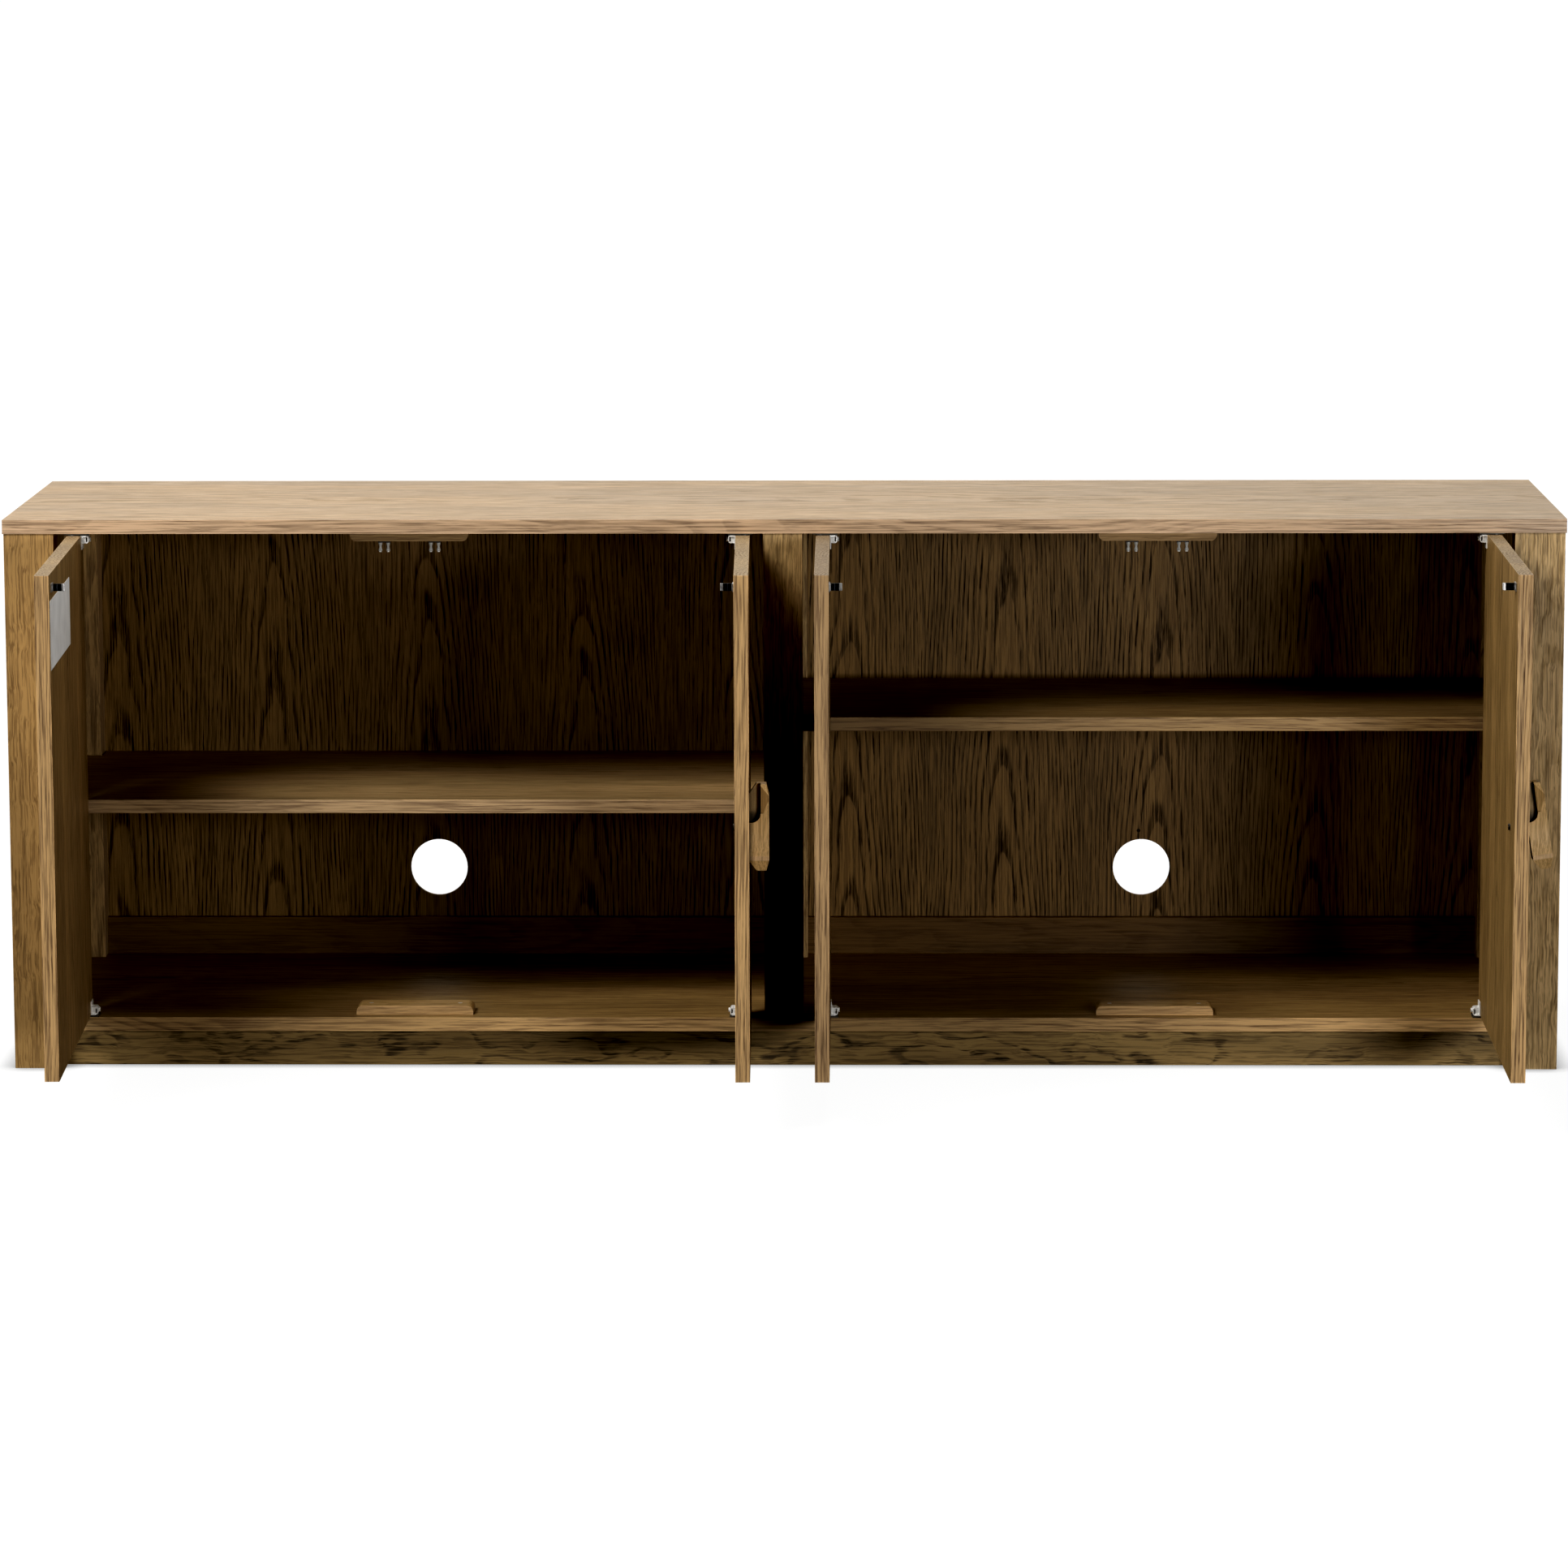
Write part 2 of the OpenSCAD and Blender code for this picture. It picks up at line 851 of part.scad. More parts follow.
top_panel();
bottom_panel();
post_front_left();
post_front_right();
post_rear_left();
post_rear_right();
post_front_centre();
post_rear_centre();
side_panel_left();
side_panel_right();
centre_partition();
plinth_front();
plinth_back();
base_support();
back_panel_left();
back_panel_right();
back_rail_left();
back_rail_right();
panel_dowels();
back_panel_screws();
shelf_pins();
shelf_left();
shelf_right();
top_stop_left();
top_stop_right();
bottom_stop_left();
bottom_stop_right();
hinge_frame_plates();
hinge_pins();
carcass_screws();
catch_frames();
catch_roller_pins();
catch_roller(1, -1);  // catch_1_left_roller
catch_roller(1, 1);  // catch_1_right_roller
catch_roller(2, -1);  // catch_2_left_roller
catch_roller(2, 1);  // catch_2_right_roller
catch_roller(3, -1);  // catch_3_left_roller
catch_roller(3, 1);  // catch_3_right_roller
catch_roller(4, -1);  // catch_4_left_roller
catch_roller(4, 1);  // catch_4_right_roller
door_panel(1);  // door_1_panel
door_panel(2);  // door_2_panel
door_panel(3);  // door_3_panel
door_panel(4);  // door_4_panel
pivot_brackets(1);  // door_1_pivot_brackets
pivot_brackets(2);  // door_2_pivot_brackets
pivot_brackets(3);  // door_3_pivot_brackets
pivot_brackets(4);  // door_4_pivot_brackets
strike(1);  // door_1_strike
strike(2);  // door_2_strike
strike(3);  // door_3_strike
strike(4);  // door_4_strike
door_screws(1);  // door_1_screws
door_screws(2);  // door_2_screws
door_screws(3);  // door_3_screws
door_screws(4);  // door_4_screws
door_handle(2);  // door_2_handle
door_handle(4);  // door_4_handle
door_1_label();
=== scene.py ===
"""Looks for the media cabinet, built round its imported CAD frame, in metres and in its axes."""
import copy
import json
import math

import bmesh
import bpy
from mathutils import Matrix, Vector


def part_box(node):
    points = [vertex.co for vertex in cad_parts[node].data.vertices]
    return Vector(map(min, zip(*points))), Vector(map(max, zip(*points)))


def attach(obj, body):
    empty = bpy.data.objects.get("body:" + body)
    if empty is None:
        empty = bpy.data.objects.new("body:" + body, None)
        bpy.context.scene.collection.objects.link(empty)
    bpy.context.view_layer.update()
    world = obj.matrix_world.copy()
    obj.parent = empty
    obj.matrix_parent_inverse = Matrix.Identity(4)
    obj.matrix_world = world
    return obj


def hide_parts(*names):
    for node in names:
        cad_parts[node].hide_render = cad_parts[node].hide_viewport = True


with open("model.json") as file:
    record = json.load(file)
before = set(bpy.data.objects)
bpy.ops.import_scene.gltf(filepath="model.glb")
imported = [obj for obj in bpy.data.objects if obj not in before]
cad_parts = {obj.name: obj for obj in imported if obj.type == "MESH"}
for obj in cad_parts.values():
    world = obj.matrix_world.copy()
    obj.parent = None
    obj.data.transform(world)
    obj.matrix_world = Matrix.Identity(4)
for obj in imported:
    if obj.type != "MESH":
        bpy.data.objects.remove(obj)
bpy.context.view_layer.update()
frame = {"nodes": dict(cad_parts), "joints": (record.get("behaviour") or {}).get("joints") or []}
NODES = frame["nodes"]
MM = 0.001

# Colours, linear
NICKEL = (0.98, 0.97, 0.94)
ZINC = (0.70, 0.69, 0.68)
DULL_ZINC = (0.16, 0.15, 0.13)
DARK_ZINC = (0.10, 0.095, 0.09)
BLACKENED = (0.05, 0.045, 0.04)
# strikes: dark lacquer, also painted shade of their hollow
DARK_LACQUER_AND_SHADE = (0.02, 0.021, 0.024)
NYLON = (0.60, 0.60, 0.58)
PAPER = (0.93, 0.93, 0.92)
END_GRAIN = (0.83, 0.90, 1.12)  # multiplies the colour of sawn ends
BEECH_LIGHT = (0.62, 0.45, 0.27)
BEECH_DARK = (0.45, 0.30, 0.17)

# Directions for a board: across its face, through its thickness, along its grain
UPRIGHT_FRONT = ((1, 0, 0), (0, 1, 0), (0, 0, 1))
UPRIGHT_SIDE = ((0, 1, 0), (-1, 0, 0), (0, 0, 1))
LYING = ((0, 1, 0), (0, 0, 1), (1, 0, 0))
RAIL = ((0, 0, -1), (0, 1, 0), (1, 0, 0))
CROSSWISE = ((1, 0, 0), (0, 0, -1), (0, 1, 0))


# ---- node trees ------------------------------------------------------------

class Nodes:
    """One material's node tree. Its methods add nodes and return output sockets."""

    def __init__(self, name):
        self.material = bpy.data.materials.new(name)
        self.material.use_nodes = True
        self.tree = self.material.node_tree
        self.shader = self.tree.nodes["Principled BSDF"]

    def plug(self, socket, value):
        if isinstance(value, bpy.types.NodeSocket):
            self.tree.links.new(value, socket)
        else:
            socket.default_value = value

    def add(self, kind, inputs=(), **settings):
        node = self.tree.nodes.new(kind)
        for key, value in settings.items():
            setattr(node, key, value)
        for key, value in dict(inputs).items():
            self.plug(node.inputs[key], value)
        return node

    def math(self, operation, *values):
        node = self.add("ShaderNodeMath", operation=operation)
        for socket, value in zip(node.inputs, values):
            self.plug(socket, value)
        return node.outputs[0]

    def vector(self, operation, *values):
        node = self.add("ShaderNodeVectorMath", operation=operation)
        for socket, value in zip(node.inputs, values):
            self.plug(socket, value)
        return node.outputs[1 if operation == "LENGTH" else 0]

    def noise(self, point, scale, detail=2.0, roughness=0.5, move=(0, 0, 0)):
        """Noise from 0 to 1; scale is cells per metre along each direction."""
        placed = self.vector("MULTIPLY_ADD", point, scale, move)
        inputs = {"Vector": placed, "Scale": 1.0, "Detail": detail, "Roughness": roughness}
        return self.add("ShaderNodeTexNoise", inputs).outputs["Fac"]

    def between(self, value, low, high, start=0.0, end=1.0, kind="SMOOTHSTEP"):
        """Goes from start at low to end at high."""
        inputs = {"Value": value, "From Min": low, "From Max": high,
                  "To Min": start, "To Max": end}
        return self.add("ShaderNodeMapRange", inputs, interpolation_type=kind).outputs[0]

    def mix(self, factor, a, b, blend="MIX"):
        node = self.add("ShaderNodeMix", data_type="RGBA", blend_type=blend)
        colours = [s for s in node.inputs if s.type == "RGBA"]
        self.plug(node.inputs[0], factor)
        for socket, value in zip(colours, (a, b)):
            self.plug(socket, value if isinstance(value, bpy.types.NodeSocket) else (*value, 1))
        return next(s for s in node.outputs if s.type == "RGBA")

    def split(self, vector):
        return self.add("ShaderNodeSeparateXYZ", {"Vector": vector}).outputs

    def join(self, x, y, z):
        return self.add("ShaderNodeCombineXYZ", {"X": x, "Y": y, "Z": z}).outputs[0]

    def place(self, centre, axes):
        """Object coordinates measured from centre along three axes."""
        here = self.add("ShaderNodeTexCoord").outputs["Object"]
        turn = Matrix(axes).transposed().to_euler()
        inputs = {"Vector": here, "Location": centre, "Rotation": turn}
        return self.add("ShaderNodeMapping", inputs, vector_type="TEXTURE").outputs[0]

    def finish(self, colour, roughness, height, depth, strength=0.5, **fixed):
        """Connects colour, roughness and bump; fixed values go on the shader's own sockets."""
        bump = self.add("ShaderNodeBump", {"Height": height, "Distance": depth,
                                           "Strength": strength})
        self.plug(self.shader.inputs["Base Color"], colour)
        self.plug(self.shader.inputs["Roughness"], roughness)
        self.plug(self.shader.inputs["Normal"], bump.outputs[0])
        for key, value in fixed.items():
            self.shader.inputs[key.replace("_", " ")].default_value = value
        return self.material


# ---- materials -------------------------------------------------------------

class Oak:
    """How one kind of oak board looks. Lengths are given in millimetres.
    light, dark: colours of the wood and of its ring lines and pores
    ring, line: spacing of the rings, and the dark part of each
    pith, taper, wobble, leaf: where the log's middle lies, how rings lean and wander, and
    the width of one veneer leaf
    rings, pores, fibre, curl, flow: strength of the figure's parts
    tone, lip, gloss, hollow_shade: unevenness, brightness of long edges, roughness, and the reach
    of the painted shade in hollows
    spots: small dark marks, each across, along, radius in metres"""

    def __init__(self, light, dark, ring=5.0, pith=(0.0, 90.0), taper=0.03, wobble=8.0, leaf=0.0,
                 rings=1.0, pores=0.6, fibre=0.3, curl=0.0, tone=0.16, line=0.5, lip=1.25,
                 gloss=0.38, flow=0.0, hollow_shade=0.0, spots=()):
        self.light, self.dark = light, dark
        self.ring, self.pith, self.taper = ring * MM, pith, taper
        self.wobble, self.leaf = wobble * MM, leaf * MM
        self.rings, self.pores, self.fibre = rings, pores, fibre
        self.curl, self.tone, self.line = curl, tone, line
        self.lip, self.gloss, self.flow, self.hollow_shade = lip, gloss, flow, hollow_shade * MM
        self.spots = spots

    def but(self, **changes):
        """The same look with other values for some of it."""
        other = copy.copy(self)
        for key, value in changes.items():
            setattr(other, key, value)
        return other


def oak(name, centre, axes, half, look, seed):
    """Oak cut from a log: rings round a pith that lies off the board, pores along the grain.
    half is half the board's size across, through and along; seed moves the pattern."""
    n = Nodes(name)
    whole = local = n.place(centre, axes)
    shift = (seed * 3.17, seed * 1.91, seed * 5.03)
    u, v, w = n.split(local)
    if look.leaf:
        cell = n.math("DIVIDE", u, look.leaf)
        leaf = n.math("FLOOR", n.math("ADD", cell, 0.5))
        u = n.math("MULTIPLY", n.math("SUBTRACT", cell, leaf), look.leaf)
        w = n.math("MULTIPLY_ADD", leaf, 0.37 * look.leaf, w)
        local = n.join(u, v, w)
    if look.flow:
        swirl = n.noise(local, (26, 26, 15), 2.0, 0.55, (shift[2], shift[0], shift[1]))
        u = n.math("MULTIPLY_ADD", n.math("SUBTRACT", swirl, 0.5), look.flow * MM, u)
        v = n.math("MULTIPLY_ADD", n.math("SUBTRACT", swirl, 0.5), look.flow * MM, v)
        local = n.join(u, v, w)
    bend = n.noise(local, (5, 5, 1.6), 2.0, 0.5, shift)
    sway = n.noise(local, (14, 14, 5), 3.0, 0.6, (shift[1], shift[2], shift[0]))
    across = n.math("MULTIPLY_ADD", n.math("SUBTRACT", bend, 0.5), 10 * look.wobble, u)
    across = n.math("SUBTRACT", across, look.pith[0] * MM)
    deep = n.math("MULTIPLY_ADD", n.math("SUBTRACT", sway, 0.5), 2 * look.wobble, v)
    deep = n.math("SUBTRACT", deep, look.pith[1] * MM)
    radius = n.math("SQRT", n.math("ADD", n.math("MULTIPLY", across, across),
                                   n.math("MULTIPLY", deep, deep)))
    radius = n.math("MULTIPLY_ADD", w, look.taper, radius)
    if look.curl:
        curl = n.noise(local, (60, 60, 40), 2.0, 0.6, shift)
        radius = n.math("MULTIPLY_ADD", n.math("SUBTRACT", curl, 0.5), look.curl * MM, radius)
    phase = n.math("FRACT", n.math("DIVIDE", radius, look.ring))
    band = n.math("MAXIMUM", n.between(phase, 0.3 * look.line, look.line, 1.0, 0.0),
                  n.between(phase, 0.92, 1.0))
    ring = n.math("MULTIPLY", band, n.between(sway, 0.25, 0.7, 0.5, 1.0))

    rows = n.between(n.noise(local, (380, 380, 15), 2.0, 0.6, shift), 0.42, 0.58)
    dashes = n.between(n.noise(local, (700, 700, 28), 2.0, 0.65, shift), 0.49, 0.62)
    fibres = n.between(n.noise(local, (430, 430, 9), 2.0, 0.6, shift), 0.36, 0.64)
    vessel = n.math("MAXIMUM", n.math("MULTIPLY", rows, 0.75), dashes)
    pore = n.math("MULTIPLY", vessel, n.math("MULTIPLY_ADD", ring, 0.65, 0.35))
    shade = n.math("MULTIPLY", ring, n.math("MULTIPLY_ADD", vessel, 0.6 * look.rings,
                                            0.3 * look.rings))
    loose = n.math("MULTIPLY", n.math("SUBTRACT", 1.0, ring), vessel)
    shade = n.math("MULTIPLY_ADD", loose, 0.5 * look.pores, shade)
    shade = n.math("MULTIPLY_ADD", n.math("SUBTRACT", fibres, 0.5), look.fibre, shade)
    for across_at, along_at, size in look.spots:
        off = n.vector("SUBTRACT", whole, (across_at, 0, along_at))
        off = n.vector("LENGTH", n.vector("MULTIPLY", off, (1, 0, 1)))
        ring_spot = n.between(off, 0.75 * size, size, 1.3, 0.0)
        shade = n.math("MAXIMUM", shade, ring_spot)
    shade = n.math("MINIMUM", n.math("MAXIMUM", shade, 0.0), 1.0)
    colour = n.mix(shade, look.light, look.dark)

    patch = n.noise(local, (9, 9, 1.3), 2.0, 0.5, (shift[2], shift[0], shift[1]))
    tone = n.between(patch, 0.3, 0.7, 1 - look.tone, 1 + look.tone)
    edge = n.vector("SUBTRACT", half, n.vector("ABSOLUTE", whole))
    a, b, c = n.split(edge)
    second = n.math("MAXIMUM", n.math("MINIMUM", a, b),
                    n.math("MINIMUM", n.math("MAXIMUM", a, b), c))
    worn = n.between(second, 0.3 * MM, 1.8 * MM, 1.0, 0.0)
    worn = n.math("MULTIPLY", worn, n.between(sway, 0.35, 0.6))
    tone = n.math("MULTIPLY_ADD", worn, 0.22, tone)
    colour = n.mix(1.0, colour, n.join(tone, tone, tone), "MULTIPLY")
    sawn = n.between(c, 0.1 * MM, 0.6 * MM, 1.0, 0.0)
    colour = n.mix(1.0, colour, n.mix(sawn, (1, 1, 1), END_GRAIN), "MULTIPLY")
    lip = n.between(a, 0.1 * MM, 0.7 * MM, 1.0, 0.0)
    pale = (look.lip, look.lip * 1.01, look.lip * 1.14)
    colour = n.mix(1.0, colour, n.mix(lip, (1, 1, 1), pale), "MULTIPLY")

    # painted shade: the colour goes nearly black in hollows and where a part meets another, by
    # ambient occlusion
    if look.hollow_shade:
        open_sky = n.add("ShaderNodeAmbientOcclusion", {"Distance": look.hollow_shade}).outputs["AO"]
        unshaded = n.between(open_sky, 0.4, 0.85, 0.05, 1.0)
        colour = n.mix(1.0, colour, n.join(unshaded, unshaded, unshaded), "MULTIPLY")

    rough = n.math("MULTIPLY_ADD", pore, 0.22, n.math("MULTIPLY_ADD", patch, 0.12, look.gloss))
    relief = n.math("MULTIPLY_ADD", pore, -0.7, n.math("MULTIPLY_ADD", shade, -0.3, 1.0))
    return n.finish(colour, rough, relief, 0.25 * MM, 0.5)


def metal(name, colour, rough, metallic=0.55):
    """Plated metal with fine brushing, handling marks and slightly uneven colour."""
    n = Nodes(name)
    here = n.add("ShaderNodeTexCoord").outputs["Object"]
    marks = n.noise(here, (150, 150, 150), 3.0, 0.6)
    brushed = n.noise(here, (400, 400, 400), 2.0, 0.5, (3.1, 7.7, 1.3))
    dull = tuple(0.8 * c for c in colour)
    tint = n.mix(n.between(marks, 0.35, 0.7), colour, dull)
    roughness = n.math("MULTIPLY_ADD", marks, 0.2, n.math("MULTIPLY_ADD", brushed, 0.1, rough))
    return n.finish(tint, roughness, brushed, 0.05 * MM, 0.3, Metallic=metallic)


def screw_metal(number):
    """Bright plating for a door's screws, with the handle's screw blackened."""
    n = Nodes(f"door_{number}_screw_zinc")
    here = n.add("ShaderNodeTexCoord").outputs["Object"]
    marks = n.noise(here, (300, 300, 300), 3.0, 0.6)
    _, _, height = n.split(here)
    grip_z = sum(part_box("door_4_handle"), Vector()).z / 2
    off = n.math("ABSOLUTE", n.math("SUBTRACT", height, grip_z))
    plated = n.between(off, 20 * MM, 30 * MM)
    bright = n.mix(n.between(marks, 0.35, 0.7), NICKEL, (0.78, 0.77, 0.75))
    colour = n.mix(plated, BLACKENED, bright)
    rough = n.math("MULTIPLY_ADD", marks, 0.2, 0.3)
    return n.finish(colour, rough, marks, 0.05 * MM, 0.3, Metallic=0.15)


def strike_metal(name, centre, axes):
    """Dark lacquered body, near black so that it also stands as painted shade in the strike's
    hollow, worn bright at the base plate and at the tip.
    """
    n = Nodes(name)
    _, away, _ = n.split(n.place(centre, axes))
    here = n.add("ShaderNodeTexCoord").outputs["Object"]
    marks = n.noise(here, (300, 300, 300), 3.0, 0.6)
    edge = n.math("MULTIPLY_ADD", marks, 1.5 * MM, away)
    bright = n.math("MAXIMUM", n.between(edge, 2.6 * MM, 3.8 * MM, 1.0, 0.0),
                    n.between(edge, 13.0 * MM, 14.0 * MM))
    # the near-black body is dark lacquer and painted shade of the hollow
    colour = n.mix(bright, DARK_LACQUER_AND_SHADE, (0.52, 0.51, 0.50))
    rough = n.between(marks, 0.3, 0.7, 0.28, 0.45)
    return n.finish(colour, rough, marks, 0.05 * MM, 0.3, Metallic=0.85)


def plain(name, colour, rough, grain, depth):
    """A matt surface with fine grain and slight unevenness."""
    n = Nodes(name)
    here = n.add("ShaderNodeTexCoord").outputs["Object"]
    fine = n.noise(here, (grain, grain, grain), 3.0, 0.6)
    wide = n.noise(here, (25, 25, 25), 2.0, 0.5, (5.0, 2.0, 8.0))
    tint = n.mix(n.between(wide, 0.3, 0.7), colour, tuple(0.9 * c for c in colour))
    roughness = n.math("MULTIPLY_ADD", fine, 0.15, rough)
    return n.finish(tint, roughness, fine, depth, 0.4)


# ---- boards ----------------------------------------------------------------

def set_material(node, material):
    NODES[node].data.materials.clear()
    NODES[node].data.materials.append(material)


def soften(node, width=0.7 * MM, segments=3):
    """Rounds a CAD node's edges with modifiers; the mesh itself stays."""
    weld = NODES[node].modifiers.new("weld", "WELD")
    weld.merge_threshold = 0.00001
    bevel = NODES[node].modifiers.new("bevel", "BEVEL")
    bevel.width = width
    bevel.segments = segments
    bevel.limit_method = "ANGLE"
    bevel.angle_limit = math.radians(50)


def board(node, axes, look, seed, edge=0.7 * MM):
    """Oak for a board that lies square to the frame."""
    low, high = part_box(node)
    centre = (low + high) / 2
    half = [abs((high - low).dot(Vector(axis))) / 2 for axis in axes]
    set_material(node, oak("oak_" + node, centre, axes, half, look, seed))
    soften(node, edge)


TOP = Oak(ring=5.0, pith=(0.0, -120.0), taper=0.015, wobble=10, rings=0.6, pores=0.55, fibre=0.5,
          tone=0.08, lip=1.3, gloss=0.26, light=(0.465, 0.342, 0.208), dark=(0.10, 0.062, 0.03))
FLOOR = Oak(ring=4.5, pith=(40.0, -100.0), taper=0.012, wobble=8, rings=0.7, pores=0.6, fibre=0.5,
            lip=1.5, light=(0.42, 0.29, 0.135), dark=(0.09, 0.052, 0.023))
POST = Oak(ring=6.0, pith=(24.0, 60.0), taper=0.03, wobble=6, rings=0.3, pores=0.8, fibre=0.65,
           curl=2.0, lip=1.0, flow=13, light=(0.49, 0.33, 0.15), dark=(0.16, 0.092, 0.038))
CALM_POST = Oak(ring=5.5, pith=(24.0, 60.0), taper=0.05, wobble=7, rings=0.65, pores=0.9,
                fibre=0.5, curl=2.0, lip=1.0, flow=9, light=(0.60, 0.44, 0.235),
                dark=(0.15, 0.095, 0.045))
SIDE = Oak(ring=4.4, pith=(0.0, 90.0), taper=0.03, leaf=160, rings=0.7, fibre=0.4,
           light=(0.36, 0.23, 0.09), dark=(0.08, 0.041, 0.015))
PLINTH = Oak(ring=11.0, pith=(-6.0, 34.0), taper=0.035, wobble=22, rings=1.0, pores=0.4, fibre=0.6,
             tone=0.22, line=0.22, lip=1.0, flow=9, light=(0.42, 0.30, 0.14),
             dark=(0.055, 0.037, 0.018))
BACK = Oak(ring=4.6, pith=(0.0, 48.0), taper=0.035, wobble=5, leaf=212, rings=1.15, pores=0.8,
           fibre=0.35, tone=0.12, line=0.42, light=(0.365, 0.245, 0.105),
           dark=(0.024, 0.0105, 0.0035))
SPOTTED_BACK = BACK.but(spots=((-0.0235, -0.138, 0.0028),))
SHELF = Oak(ring=4.5, pith=(60.0, -90.0), taper=0.012, wobble=7, rings=0.6, pores=0.6, fibre=0.55,
            lip=1.25, light=(0.50, 0.365, 0.20), dark=(0.12, 0.072, 0.034))
# painted shade: a darker copy of the shelf oak for the right shelf, standing for the shade in the
# right bay
SHADED_SHELF = SHELF.but(light=(0.30, 0.21, 0.10), dark=(0.07, 0.04, 0.018))
RAIL_OAK = SIDE.but(light=(0.20, 0.125, 0.048))
STOP = Oak(ring=5.0, pith=(0.0, 40.0), taper=0.08, wobble=8, rings=0.55, pores=0.6, curl=6.0,
           lip=1.0, light=(0.48, 0.335, 0.16), dark=(0.13, 0.078, 0.034))
DOOR = Oak(ring=4.2, pith=(10.0, 90.0), taper=0.025, wobble=6, leaf=215, rings=0.8, pores=0.75,
           fibre=0.6, tone=0.1, lip=1.3, light=(0.48, 0.33, 0.155), dark=(0.10, 0.058, 0.026))
# painted shade: a darker copy of the door oak, used on door 3 to take down the key light on its
# end
SHADED_DOOR = DOOR.but(light=(0.36, 0.25, 0.125), dark=(0.075, 0.044, 0.021))
GRIP = Oak(ring=4.0, pith=(30.0, 40.0), taper=0.06, wobble=6, rings=0.45, pores=0.6, curl=3.0,
           lip=1.0, hollow_shade=14, light=(0.92, 0.67, 0.36), dark=(0.34, 0.20, 0.085))
DOWEL = Oak(light=BEECH_LIGHT, dark=BEECH_DARK, ring=3.0, rings=0.3, pores=0.25)

board("top_panel", LYING, TOP, 1)
board("bottom_panel", LYING, FLOOR, 2)
for index, name in enumerate(sorted(n for n in NODES if n.startswith("post_"))):
    board(name, UPRIGHT_FRONT, POST if name == "post_front_left" else CALM_POST, 3 + index)
for index, name in enumerate(("side_panel_left", "side_panel_right", "centre_partition")):
    board(name, UPRIGHT_SIDE, SIDE, 10 + index)
board("plinth_front", RAIL, PLINTH, 14)
board("plinth_back", RAIL, PLINTH, 15)
board("base_support", CROSSWISE, PLINTH, 16)
board("back_panel_left", UPRIGHT_FRONT, BACK, 17, 0.3 * MM)
board("back_panel_right", UPRIGHT_FRONT, SPOTTED_BACK, 18, 0.3 * MM)
board("back_rail_left", RAIL, RAIL_OAK, 19)
board("back_rail_right", RAIL, RAIL_OAK, 20)
board("shelf_left", LYING, SHELF, 21)
# painted shade on the right shelf
board("shelf_right", LYING, SHADED_SHELF, 22)
for index, name in enumerate(("top_stop_left", "top_stop_right",
                              "bottom_stop_left", "bottom_stop_right")):
    board(name, LYING, STOP, 23 + index)
set_material("panel_dowels", oak("beech_dowel", (0, 0, 0), UPRIGHT_FRONT, (9, 9, 9), DOWEL, 27))


# ---- doors -----------------------------------------------------------------

def swing(number):
    return next(j for j in frame["joints"] if j["name"] == f"door_{number}_swing")


def door_axes(number):
    """Directions of an open door: along its width from the pivot, through it, and up."""
    low, high = swing(number)["range_deg"]
    angle = math.radians(low if abs(low) > abs(high) else high)
    mirrored = -1 if abs(low) > abs(high) else 1
    turn = Matrix.Rotation(-angle, 3, "Z")
    return [tuple(turn @ Vector(axis)) for axis in ((mirrored, 0, 0), (0, mirrored, 0), (0, 0, 1))]


def door_place(number, node):
    """Centre and half size of a door's node, measured along that door's directions."""
    axes = door_axes(number)
    pivot = Vector(swing(number)["pos_m"])
    spans = []
    for axis in axes:
        along = [(v.co - pivot).dot(Vector(axis)) for v in NODES[node].data.vertices]
        spans.append((min(along), max(along)))
    centre = pivot + sum(((a + b) / 2 * Vector(x) for (a, b), x in zip(spans, axes)), Vector())
    return centre, [(b - a) / 2 for a, b in spans]


nickel = metal("nickel", NICKEL, 0.22, 0.15)
zinc = metal("zinc", ZINC, 0.3)
nylon = plain("nylon", NYLON, 0.35, 300, 0.05 * MM)

for number in (1, 2, 3, 4):
    door = f"door_{number}"
    axes = door_axes(number)
    centre, half = door_place(number, door + "_panel")
    # door 3 gets the painted-shade copy of the door oak
    look = SHADED_DOOR if number == 3 else DOOR
    set_material(door + "_panel", oak("oak_" + door, centre, axes, half, look, 30 + number))
    soften(door + "_panel")
    set_material(door + "_pivot_brackets", nickel)
    soften(door + "_pivot_brackets", 0.4 * MM, 2)
    set_material(door + "_screws", screw_metal(number))
    side = 1 if number in (1, 3) else -1
    across, away = (tuple(side * x for x in axis) for axis in axes[:2])
    strike_centre, strike_half = door_place(number, door + "_strike")
    foot = strike_centre - strike_half[1] * Vector(away)
    set_material(door + "_strike", strike_metal(f"strike_{number}", foot,
                                                (across, away, (0, 0, 1))))
    soften(door + "_strike", 0.3 * MM, 2)
for number in (2, 4):
    door = f"door_{number}"
    centre, half = door_place(number, door + "_handle")
    set_material(door + "_handle", oak("oak_" + door + "_handle", centre, door_axes(number),
                                       half, GRIP, 40 + number))

for name in ("hinge_pins", "shelf_pins", "catch_roller_pins"):
    set_material(name, nickel)
set_material("hinge_frame_plates", metal("dull_zinc", DULL_ZINC, 0.45))
set_material("catch_frames", metal("dark_zinc", DARK_ZINC, 0.4))
for name in ("back_panel_screws", "carcass_screws"):
    set_material(name, zinc)


